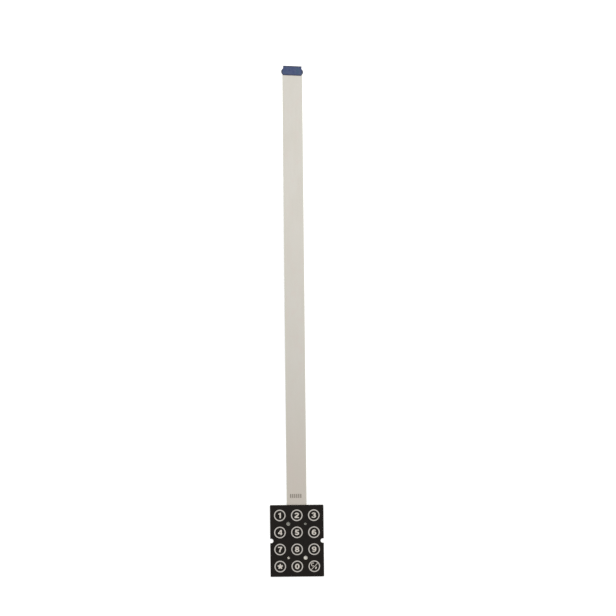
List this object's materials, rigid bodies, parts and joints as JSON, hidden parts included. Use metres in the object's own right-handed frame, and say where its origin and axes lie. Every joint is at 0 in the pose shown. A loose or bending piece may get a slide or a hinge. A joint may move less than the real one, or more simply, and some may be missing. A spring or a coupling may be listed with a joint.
{
  "type": "membrane keypad",
  "caption": "Flat laminated membrane keypad with a telephone key layout, ringed legends, locating holes, side notches and a long film tail that ends in an eared stiffener.",
  "frame": {"origin": "middle of the pad on its rear face, which lies on the surface under it", "axes": "+Z out of the front, +Y from the pad along the tail to its tip, +X to the right seen from the front"},
  "size_m": [0.04, 0.3816, 0.0021],
  "materials": {
    "overlay_film": "matte",
    "legend_ink": "matte",
    "tail_film": "satin",
    "clear_film": "satin",
    "adhesive": "gloss",
    "silver_ink": "matte",
    "carbon_ink": "matte",
    "liner_paper": "satin",
    "stiffener_film": "satin"
  },
  "bodies": {
    "root": {"graphic_overlay": "overlay_film", "key_rings": "legend_ink", "overlay_adhesive": "adhesive", "upper_circuit": "tail_film", "silver_tracks": "silver_ink", "spacer": "clear_film", "common_jumper": "silver_ink", "common_tracks": "silver_ink", "lower_circuit": "clear_film", "rear_adhesive": "adhesive", "release_liner": "liner_paper", "tail_cover": "tail_film", "contact_fingers": "carbon_ink", "stiffener_adhesive": "adhesive", "tail_stiffener": "stiffener_film"}
  },
  "joints": []
}
